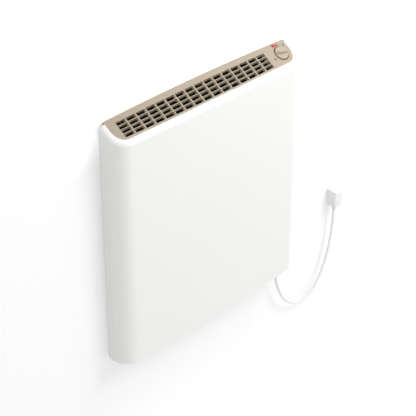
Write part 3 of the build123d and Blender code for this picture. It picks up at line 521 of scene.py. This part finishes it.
# %% [markdown]
# The paper is plain matt white, a little paler where it is seen. The heater hangs 3 mm
# off the wall, so its back would be pitch dark in every view from behind. The wall is
# therefore clear from behind, and for rays that meet it within two centimetres. Taking
# the wall away would do that too, but it would take the shadow away as well.

# %% Paper for wall and floor
wall_tone = 0.8
wall_tone_seen = 0.96
back_light_reach = 0.02


def open_paper(tree, shader):
    """Makes the paper clear from behind and for rays that meet it within the reach."""
    behind = tree.nodes.new("ShaderNodeNewGeometry").outputs["Backfacing"]
    length = tree.nodes.new("ShaderNodeLightPath").outputs["Ray Length"]
    short = add_math(tree, "LESS_THAN", length, back_light_reach)
    clear = tree.nodes.new("ShaderNodeBsdfTransparent")
    choose = tree.nodes.new("ShaderNodeMixShader")
    tree.links.new(add_math(tree, "MAXIMUM", short, behind), choose.inputs["Fac"])
    tree.links.new(shader.outputs["BSDF"], choose.inputs[1])
    tree.links.new(clear.outputs["BSDF"], choose.inputs[2])
    tree.links.new(choose.outputs["Shader"], tree.nodes["Material Output"].inputs["Surface"])


def paper(name):
    """Matt paper that is paler and glows where the camera, gloss or glass sees it."""
    material = bpy.data.materials.new(name)
    material.use_nodes = True
    tree = material.node_tree
    shader = tree.nodes["Principled BSDF"]
    shader.inputs["Roughness"].default_value = 1.0
    shader.inputs["Specular IOR Level"].default_value = 0.0
    shader.inputs["Emission Color"].default_value = (1, 1, 1, 1)
    seen = seen_rays(tree)
    tone = add_range(tree, seen, low=wall_tone, high=wall_tone_seen)
    glow = add_math(tree, "MULTIPLY", seen, glow_at_height(tree))
    tree.links.new(tone, shader.inputs["Base Color"])
    tree.links.new(glow, shader.inputs["Emission Strength"])
    return material, tree, shader


wall_paper, tree, shader = paper("wall paper")
open_paper(tree, shader)
floor_paper = paper("floor paper")[0]
print("paper", wall_paper.name, floor_paper.name)

# %% [markdown]
# Two large planes make the stage. The wall stands a hair behind the plane that the
# brackets touch, so that the two never share a surface. Both take their place into
# their mesh, because the paper's glow is read on object coordinates.

# %% Wall and floor
wall_size = 7
wall_gap = 0.0006
wall_centre = 0.4
floor_size = 9
floor_level = -1.6


def stage_plane(name, material, size, place, turned=(0, 0, 0)):
    """Large flat plane with its place in its mesh."""
    clear_selection()
    bpy.ops.mesh.primitive_plane_add(size=size, location=place, rotation=turned)
    plane = bpy.context.object
    plane.name = name
    bpy.ops.object.transform_apply(location=True, rotation=True, scale=True)
    plane.data.materials.append(material)
    return plane


wall = stage_plane("wall", wall_paper, wall_size, (0, wall_gap, wall_centre), (math.pi / 2, 0, 0))
floor = stage_plane("floor", floor_paper, floor_size, (0, 0, floor_level))
print("wall", wall_size, "m, floor", floor_size, "m")

# %% [markdown]
# The light is that of a small photo studio. A soft world light fills the shadows. One
# lamp in front, above and to the right makes the shadow on the wall, one closer to the
# wall grazes the sloping top, and a large one low in front keeps the cord and the lower
# edge from going grey. The world shows the camera plain white and lights the heater
# less. A lit backdrop alone would leave no shadow to show how the heater hangs.

# %% Light
world_light = 0.7
world_seen = 1.0
lamp_rows = {
    "near light": ((0.9, -1.3, 1.4), 0.8, 12.2),
    "over light": ((0.9, -0.45, 1.2), 0.6, 3.8),
    "low fill": ((0.4, -2.5, -1.1), 1.6, 7.0),
}

world = bpy.data.worlds.new("studio")
bpy.context.scene.world = world
world.use_nodes = True
sky = world.node_tree
background = sky.nodes["Background"]
background.inputs["Color"].default_value = (1, 1, 1, 1)
sky_level = add_range(sky, seen_rays(sky), low=world_light, high=world_seen)
sky.links.new(sky_level, background.inputs["Strength"])

for name, (place, size, power) in lamp_rows.items():
    lamp = bpy.data.lights.new(name, "AREA")
    lamp.size = size
    lamp.energy = power
    lamp_object = bpy.data.objects.new(name, lamp)
    bpy.context.scene.collection.objects.link(lamp_object)
    aim = Vector(place).to_track_quat("Z", "Y").to_matrix().to_4x4()
    lamp_object.matrix_world = Matrix.Translation(Vector(place)) @ aim
bpy.context.scene.view_settings.view_transform = "Standard"
print("lamps", list(lamp_rows))

# %% [markdown]
# Each slot of the record gets one finish. The front and the pan are steel with a white
# powder coat, the grille and its controls are moulded plastic, and inside there are
# mica, ceramic and resin. A table is easier to compare than a cell for each. A row gives
# the name, two tones, the scales of the drift and of the grain, the depth of the grain
# in metres, and the roughness from and to.

# %% Painted and moulded finishes
shell_white = (0.95, 0.945, 0.93)
shell_shade = (0.94, 0.935, 0.92)
pan_white = (0.8, 0.795, 0.78)
pan_shade = (0.78, 0.775, 0.76)
beige = (0.505, 0.423, 0.314)
beige_shade = (0.485, 0.406, 0.302)
switch_tone = (0.5, 0.42, 0.312)
switch_shade = (0.48, 0.4, 0.3)
red = (0.88, 0.05, 0.075)
red_shade = (0.82, 0.045, 0.07)
brown = (0.06, 0.035, 0.022)
brown_shade = (0.05, 0.03, 0.02)
resin = (0.06, 0.045, 0.035)
resin_shade = (0.045, 0.035, 0.03)
ceramic = (0.82, 0.8, 0.75)
ceramic_shade = (0.76, 0.74, 0.69)
grey = (0.3, 0.3, 0.3)
grey_shade = (0.25, 0.25, 0.25)
green = (0.03, 0.14, 0.06)
green_shade = (0.02, 0.1, 0.045)
rubber = (0.04, 0.04, 0.042)
rubber_shade = (0.03, 0.03, 0.032)
mica = (0.3, 0.24, 0.15)
mica_shade = (0.2, 0.155, 0.1)
cream = (0.72, 0.66, 0.52)
cream_shade = (0.66, 0.6, 0.47)
sleeve = (0.7, 0.68, 0.62)
sleeve_shade = (0.6, 0.58, 0.52)
coated_rows = {
    "shell_white": ("shell powder coat", shell_white, shell_shade, 3, 700, 0.00002, (0.38, 0.48)),
    "pan_white": ("pan powder coat", pan_white, pan_shade, 5, 700, 0.00002, (0.5, 0.6)),
    "grille_beige": ("grille plastic", beige, beige_shade, 9, 1600, 0.00003, (0.36, 0.46)),
    "knob_beige": ("knob plastic", beige, beige_shade, 40, 2500, 0.00002, (0.34, 0.44)),
    "shaft_plastic": ("shaft plastic", grey, grey_shade, 40, 2500, 0.00002),
    "rocker_red": ("rocker plastic", red, red_shade, 60, 4000, 0.000005, (0.12, 0.2)),
    "switch_beige": ("switch plastic", switch_tone, switch_shade, 60, 2500, 0.00002),
    "sensor_dark": ("sensor window", brown, brown_shade, 60, 4000, 0.000002, (0.3, 0.4)),
    "board_green": ("circuit board", green, green_shade, 120, 3000, 0.00001, (0.3, 0.4)),
    "pad_rubber": ("pad rubber", rubber, rubber_shade, 30, 2500, 0.00003, (0.7, 0.85)),
    "mica_board": ("mica board", mica, mica_shade, 90, 1200, 0.00005, (0.35, 0.55)),
    "ceramic_white": ("bush ceramic", ceramic, ceramic_shade, 60, 2500, 0.00001, (0.25, 0.35)),
    "thermostat_dark": ("thermostat resin", resin, resin_shade, 60, 2500, 0.00002),
    "block_cream": ("terminal block", cream, cream_shade, 60, 2000, 0.00002, (0.45, 0.55)),
    "sleeve_white": ("glass sleeve", sleeve, sleeve_shade, 200, 5000, 0.0001, (0.7, 0.85)),
}
finishes = {slot: coated(*row) for slot, row in coated_rows.items()}
finishes["cord_white"] = cord_vinyl
print("coated finishes", len(finishes))

# %% [markdown]
# Brackets and rails are galvanised, the reflector is bright aluminium, the ribbon is
# dull nichrome and the contacts are brass and nickel. A row gives the name and two
# tones, and for small parts also the scale and depth of their finer streaks, because
# wide streaks on a screw would be one flat patch.

# %% Metal finishes
metal_rows = {
    "bracket_zinc": ("bracket zinc", (0.55, 0.56, 0.57), (0.42, 0.43, 0.45)),
    "rail_zinc": ("rail zinc", (0.5, 0.51, 0.52), (0.38, 0.39, 0.41)),
    "screw_zinc": ("screw zinc", (0.62, 0.62, 0.6), (0.5, 0.5, 0.48), 2000, 0.000005),
    "reflector_aluminium": ("reflector aluminium", (0.72, 0.73, 0.74), (0.64, 0.65, 0.66)),
    "shield_steel": ("shield steel", (0.4, 0.4, 0.41), (0.3, 0.3, 0.31)),
    "ribbon_nichrome": ("ribbon nichrome", (0.32, 0.28, 0.25), (0.2, 0.17, 0.15), 2500, 0.000005),
    "terminal_brass": ("terminal brass", (0.72, 0.55, 0.28), (0.62, 0.46, 0.22), 2500, 0.000004),
    "blade_nickel": ("blade nickel", (0.75, 0.73, 0.69), (0.66, 0.64, 0.6), 3000, 0.000002, (0.18, 0.28)),
}
for slot, row in metal_rows.items():
    finishes[slot] = metal(*row)
for node, piece in nodes.items():
    piece.data.materials.clear()
    piece.data.materials.append(finishes[slot_of[node]])
print("finishes", len(finishes), "missing", set(slot_of.values()) - set(finishes))

# %% [markdown]
# The grille's slots read in three painted tones of light and shade. The slats lie a little lower than the plate
# and are painted a shade darker, which is painted shade; the walls below them are painted warm and light, which is
# painted light that stands in for light bouncing between them; and at their lower end they are painted black,
# which is painted shade. The grille is one moulding, so these aren't three materials: each tone sets in between
# two depths below the top, over the one before. A row gives both depths.

# %% Painted light and shade in the grille's slots
# Black that is painted shade, here and inside the pan.
painted_shade_black = (0.006, 0.006, 0.006)
# Each row is painted shade or painted light: darker slat tops, pale walls and a black lower end.
slot_painted_shade_and_light = [
    (0.0001, 0.0002, (0.44, 0.369, 0.273)),
    (0.002, 0.007, (0.95, 0.81, 0.62)),
    (0.0097, 0.0104, painted_shade_black),
]


def mix_in(material, mask, color):
    """Lays another colour over the base colour where the mask is 1."""
    tree = material.node_tree
    shader = tree.nodes["Principled BSDF"]
    under = shader.inputs["Base Color"].links[0].from_socket
    tree.links.new(add_mix(tree, mask, under, (*color, 1)), shader.inputs["Base Color"])


grille_plastic = finishes["grille_beige"]
grille_tree = grille_plastic.node_tree
for start, end, color in slot_painted_shade_and_light:
    mask = place_group(grille_tree, well_depth, Start=start, End=end)["Mask"]
    mix_in(grille_plastic, mask, color)
print("slot tones", len(slot_painted_shade_and_light))

# %% [markdown]
# Round the knob a thin dark ring shows: it is the floor of the knob's recess, which lies in the knob's own shade,
# so its brown is painted shade. Only points close to the knob's axis and just below the plate take this painted
# shade, so two masks are multiplied.

# %% Painted shade in the knob's recess
recess_reach = 0.0165
recess_start = 0.0001
recess_end = 0.0004
# Brown that is painted shade on the floor of the recess.
recess_shade_brown = (0.05, 0.037, 0.025)
knob_joint = joints["thermostat_turn"]
knob_place = Vector(knob_joint["pos_m"])
knob_axis = Vector(knob_joint["axis"]).normalized()

away = grille_tree.nodes.new("ShaderNodeVectorMath")
away.operation = "DISTANCE"
away.inputs[1].default_value = knob_place
grille_tree.links.new(object_place(grille_tree), away.inputs[0])
near_knob = add_math(grille_tree, "LESS_THAN", away.outputs["Value"], recess_reach)
below_plate = place_group(grille_tree, well_depth, Start=recess_start, End=recess_end)["Mask"]
recess_shade_mask = add_math(grille_tree, "MULTIPLY", near_knob, below_plate)
mix_in(grille_plastic, recess_shade_mask, recess_shade_brown)
print("recess within", recess_reach, "m of the knob's middle")

# %% [markdown]
# Through the slots one looks into the heater, where it is dark. A white pan would shine through them, so its
# inside is painted black as painted shade: all that lies within its sides, in front of its sheet and above its
# floor. Three tests on the coordinates are multiplied, which needs no second material on the same folded sheet.

# %% Painted shade inside the pan
inside_half = 0.241
inside_back = -0.0035
inside_foot = -0.263

pan_paint = finishes["pan_white"]
pan_tree = pan_paint.node_tree
parts = object_parts(pan_tree)
sideways = add_math(pan_tree, "ABSOLUTE", parts["X"])
within = add_math(pan_tree, "LESS_THAN", sideways, inside_half)
before_sheet = add_math(pan_tree, "LESS_THAN", parts["Y"], inside_back)
above_floor = add_math(pan_tree, "GREATER_THAN", parts["Z"], inside_foot)
# Mask of the painted shade: the inside of the pan is painted black.
inside = add_math(pan_tree, "MULTIPLY", add_math(pan_tree, "MULTIPLY", within, before_sheet), above_floor)
mix_in(pan_paint, inside, painted_shade_black)
print("inside of the pan is dark within", inside_half, "m of its middle")

# %% [markdown]
# A solid's mesh arrives as loose triangles. A copy with its corners merged can be shaded
# smoothly, and weighted normals keep the large faces flat right up to a rounded edge.
# Editing the loaded mesh itself would spoil the frame, so such a copy stands in for its
# node. The five pieces that are seen most get one.

# %% Smooth copies of solids
merge_distance = 0.000002
face_weight = 100


def dressed(node):
    """Merged, smooth copy of a solid that replaces its node."""
    clear_selection()
    source = nodes[node]
    piece = source.copy()
    piece.data = source.data.copy()
    piece.name = node + "_skin"
    bpy.context.scene.collection.objects.link(piece)
    pick(piece)
    bpy.ops.object.mode_set(mode="EDIT")
    bpy.ops.mesh.select_all(action="SELECT")
    bpy.ops.mesh.remove_doubles(threshold=merge_distance)
    face_outward()
    smooth(piece)
    apply_modifier(piece, "WEIGHTED_NORMAL", mode="FACE_AREA", weight=face_weight, keep_sharp=True)
    slot = slot_of[node]
    settle(piece, finishes[slot], body_of.get(node, "root"))
    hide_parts(node)
    return piece


skins = {}
for node in ("front_shell", "top_grille", "back_pan", "power_rocker", "switch_housing"):
    skins[node] = dressed(node)
    print(skins[node].name, len(skins[node].data.polygons), "faces")

# %% [markdown]
# The thermostat knob starts as a flat disc. It is turned from a circle, ring by ring,
# with a soft edge and a shallow dish, because a plain cylinder would show a hard rim.
# Each row is a radius and a height above the joint, along the knob's axis.

# %% Knob disc
knob_sides = 72
disc_profile = [
    (0.0138, -0.0009),
    (0.0142, -0.0006),
    (0.0142, 0.0012),
    (0.0139, 0.0017),
    (0.0133, 0.0020),
    (0.0115, 0.0019),
    (0.0060, 0.0017),
    (0.0010, 0.0017),
]
knob = turned_piece("knob_cap", disc_profile, knob_place, knob_axis, sides=knob_sides)
print("disc", max(radius for radius, level in disc_profile) * 2, "m across")

# %% [markdown]
# A crowned fin across the disc is what a finger and thumb hold. It is an oval plate that
# is cut off just below the disc's face. A boolean joins the two, so that the knob is one
# closed moulding. Joining the meshes alone would leave faces inside it.

# %% Knob grip
grip_turn = math.radians(-15)
grip_half = 0.0126
grip_crest = 0.0052
grip_thickness = 0.0036
grip_sides = 64
grip_edge = 0.0009
grip_edge_angle = math.radians(40)
grip_root = -0.0006
grip_lift = 0.0018

clear_selection()
upright = (math.pi / 2, 0, 0)
bpy.ops.mesh.primitive_circle_add(vertices=grip_sides, radius=grip_half, rotation=upright)
grip = bpy.context.object
grip.scale = (1, grip_crest / grip_half, 1)
bpy.ops.object.transform_apply(location=True, rotation=True, scale=True)
bpy.ops.object.mode_set(mode="EDIT")
bpy.ops.transform.translate(value=(0, -grip_thickness / 2, 0))
bpy.ops.mesh.edge_face_add()
bpy.ops.mesh.extrude_region_move(TRANSFORM_OT_translate={"value": (0, grip_thickness, 0)})
bpy.ops.mesh.select_all(action="SELECT")
bpy.ops.mesh.bisect(plane_co=(0, 0, grip_root), plane_no=(0, 0, 1), clear_inner=True, use_fill=True)
face_outward()
edge_rule = {"limit_method": "ANGLE", "angle_limit": grip_edge_angle}
apply_modifier(grip, "BEVEL", width=grip_edge, segments=3, **edge_rule)
grip_place = Matrix.Translation(knob_place + grip_lift * knob_axis)
grip.matrix_world = grip_place @ facing_along(knob_axis) @ Matrix.Rotation(grip_turn, 4, "Z")
apply_modifier(knob, "BOOLEAN", object=grip, operation="UNION", solver="EXACT")
bpy.data.objects.remove(grip)
smooth(knob)
settle(knob, finishes["knob_beige"], "knob")
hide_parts("thermostat_knob")
print("knob faces", len(knob.data.polygons))

# %% [markdown]
# Beside the knob the plate carries one small printed sign for the frost setting, a star
# of three crossed strokes. A print has almost no height, so each stroke is a thin bar
# with softened edges that stands a hair above the plate. The place on the crowned plate
# is found with a ray from above, and the three strokes are one bar at three turns.

# %% Frost mark
mark_across = -0.0233
mark_below = 0.0070
stroke_length = 0.0078
stroke_width = 0.0007
stroke_height = 0.0002
stroke_count = 3
ray_start = 0.05

slope_down = Vector((0, -math.cos(slope), -math.sin(slope)))
above = knob_place + Vector((mark_across, 0, 0)) + mark_below * slope_down + ray_start * slope_out
found, mark_place, facing, _ = skins["top_grille"].ray_cast(above, -slope_out)
half_size = Vector((stroke_length, stroke_width, stroke_height)) / 2
strokes = []
for count in range(stroke_count):
    stroke = soft_box("stroke", -half_size, half_size, stroke_height / 3, segments=2)
    spin = Matrix.Rotation(math.pi * count / stroke_count, 4, "Z")
    stroke.matrix_world = Matrix.Translation(mark_place) @ facing_along(facing) @ spin
    strokes.append(stroke)
mark = join("frost_mark", strokes)
settle(mark, finishes["sensor_dark"])
print("mark at", [round(value, 4) for value in mark_place], "found", found)

# %% [markdown]
# Small screws hold the grille, the shell and the terminals. Each is the same pan head
# with a cross recess. The head is turned together with its shank, so it never floats,
# and the cross is cut with two bars, because a printed cross would look flat up close.

# %% One screw
head_height = 0.0016
screw_sides = 24
screw_profile = [
    (0.0012, -0.006),
    (0.0014, -0.0057),
    (0.0014, 0.0),
    (0.0027, 0.0),
    (0.0028, 0.0003),
    (0.0027, 0.0009),
    (0.0021, 0.0014),
    (0.0008, head_height),
]
cross_bar = (0.0030, 0.0006, 0.0016)

screw = turned_piece("screw_model", screw_profile, sides=screw_sides)
for angle in (0, math.pi / 2):
    clear_selection()
    bpy.ops.mesh.primitive_cube_add(size=1, location=(0, 0, head_height))
    cutter = bpy.context.object
    cutter.scale = cross_bar
    cutter.rotation_euler = (0, 0, angle)
    bpy.ops.object.transform_apply(location=True, rotation=True, scale=True)
    apply_modifier(screw, "BOOLEAN", object=cutter, operation="DIFFERENCE", solver="EXACT")
    bpy.data.objects.remove(cutter)
smooth(screw)
print("screw faces", len(screw.data.polygons))

# %% [markdown]
# One node may hold several screws. Triangles that share a corner belong to the same
# solid, so the corners are gathered into groups, and each group's box tells where one
# solid sits. Typing the places in again would be shorter, but they could then drift
# apart from the frame.

# %% Where each solid sits
def islands(node):
    """Boxes of the separate solids in a node, as (low, high) corners."""
    mesh = nodes[node].data
    parent = {}

    def root(key):
        while parent[key] != key:
            parent[key] = parent[parent[key]]
            key = parent[key]
        return key

    keys = [tuple(round(part, 6) for part in vertex.co) for vertex in mesh.vertices]
    for key in keys:
        parent.setdefault(key, key)
    for polygon in mesh.polygons:
        first, *others = [keys[index] for index in polygon.vertices]
        for other in others:
            parent[root(first)] = root(other)
    groups = {}
    for key in parent:
        groups.setdefault(root(key), []).append(key)
    boxes = []
    for group in groups.values():
        low = Vector(min(key[axis] for key in group) for axis in range(3))
        high = Vector(max(key[axis] for key in group) for axis in range(3))
        boxes.append((low, high))
    return sorted(boxes, key=lambda box: tuple(box[0]))


print("solids in grille_screws", len(islands("grille_screws")))

# %% [markdown]
# The screw model is now copied to each place, each copy with its own mesh, and turned
# so that its head faces out: backwards on the grille, down under the shell and to the
# front on the terminals. The head ends flush with the end of the solid it stands for.

# %% Screws in their places
def screw_set(node, out):
    """Copies the screw to each solid of a node, its head facing out."""
    made = []
    direction = Vector(out)
    for low, high in islands(node):
        copy = screw.copy()
        copy.data = screw.data.copy()
        bpy.context.scene.collection.objects.link(copy)
        reach = abs((high - low).dot(direction)) / 2
        seat = (low + high) / 2 + direction * (reach - head_height)
        copy.matrix_world = Matrix.Translation(seat) @ facing_along(direction)
        made.append(copy)
    piece = join(node + "_cross", made)
    settle(piece, finishes[slot_of[node]])
    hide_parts(node)
    return len(made)


screws_out = {"grille_screws": (0, 1, 0), "shell_screws": (0, 0, -1), "terminal_screws": (0, -1, 0)}
counts = {node: screw_set(node, out) for node, out in screws_out.items()}
bpy.data.objects.remove(screw)
print("screws", counts)

# %% [markdown]
# The plug is one white moulding. Its block starts as a box with its edges rounded, and
# its finger ridges are thin rounded bars, repeated up both sides. A bump in the material
# would look the same from afar, but not along the block's outline. The blades and the
# ground pin behind it come from the frame.

# %% Plug block
plug_height = 0.040
plug_edge = 0.0032
ridge_count = 5
ridge_first = 0.010
ridge_step = 0.005
ridge_inset = 0.006
ridge_height = 0.002
ridge_stand = 0.0008
ridge_edge = 0.0007

plug_low, plug_high = islands("plug_body")[0]
plug_foot = plug_high.z - plug_height
plug_middle = (plug_low + plug_high) / 2
plug_half = (plug_high.x - plug_low.x) / 2
block_low = (plug_low.x, plug_low.y, plug_foot)
plug_parts = [soft_box("plug_moulding", block_low, plug_high, plug_edge, segments=5)]
for side in (-1, 1):
    edge = plug_middle.x + side * plug_half
    for row in range(ridge_count):
        level = plug_foot + ridge_first + row * ridge_step
        low = (edge - ridge_stand, plug_low.y + ridge_inset, level)
        high = (edge + ridge_stand, plug_high.y - ridge_inset, level + ridge_height)
        plug_parts.append(soft_box("ridge", low, high, ridge_edge, segments=2))
print("plug block with", 2 * ridge_count, "ridges")

# %% [markdown]
# Below the block a ribbed relief grips the cord where it enters. It is turned ring by ring, upward from the cord's
# end, and each pair of wider rings is one rib.

# %% Plug relief
relief_profile = [
    (0.00425, 0.0),
    (0.0047, 0.0006),
    (0.0047, 0.0022),
    (0.0042, 0.0028),
    (0.0044, 0.0036),
    (0.0053, 0.0042),
    (0.0053, 0.0060),
    (0.0047, 0.0066),
    (0.0050, 0.0074),
    (0.0062, 0.0082),
    (0.0066, 0.0110),
    (0.0068, 0.0140),
]
relief_sides = 40
plug_parts.append(turned_piece("relief", relief_profile, cord_route[-1], sides=relief_sides))
plug = join("plug_moulding", plug_parts)
settle(plug, cord_vinyl)
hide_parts("plug_body")
print("plug faces", len(plug.data.polygons))

# %% [markdown]
# Where the cord leaves the heater, a tapered, ribbed sleeve and a collar keep it from
# bending sharply at the edge of the pan. Both are turned as one piece. Each rib is four
# rings that step out and in again, and every rib is a little wider than the one below.

# %% Gland under the heater
rib_count = 5
rib_pitch = 0.0036
first_rib = 0.0008
rib_girth = 0.0046
rib_growth = 0.00035
rib_outline = [(0.0, 0.0), (0.0001, 0.0018), (-0.0006, 0.0024), (-0.0005, 0.0032)]
collar_profile = [(0.0069, 0.0225), (0.0070, 0.0231), (0.0070, 0.0240), (0.0050, 0.0240)]
neck_radius = 0.0050
sleeve_mouth = 0.00425

gland_foot = Vector(cord_route[0])
gland_reach = islands("cord_gland")[0][1].z - gland_foot.z
gland_profile = [(sleeve_mouth, 0.0)]
for rib in range(rib_count):
    girth = rib_girth + rib_growth * rib
    level = first_rib + rib * rib_pitch
    gland_profile += [(girth + wider, level + higher) for wider, higher in rib_outline]
gland_profile += collar_profile
gland_profile.append((neck_radius, gland_reach))
gland = turned_piece("gland_sleeve", gland_profile, gland_foot, sides=relief_sides)
settle(gland, cord_vinyl)
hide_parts("cord_gland")
print("gland rings", len(gland_profile))
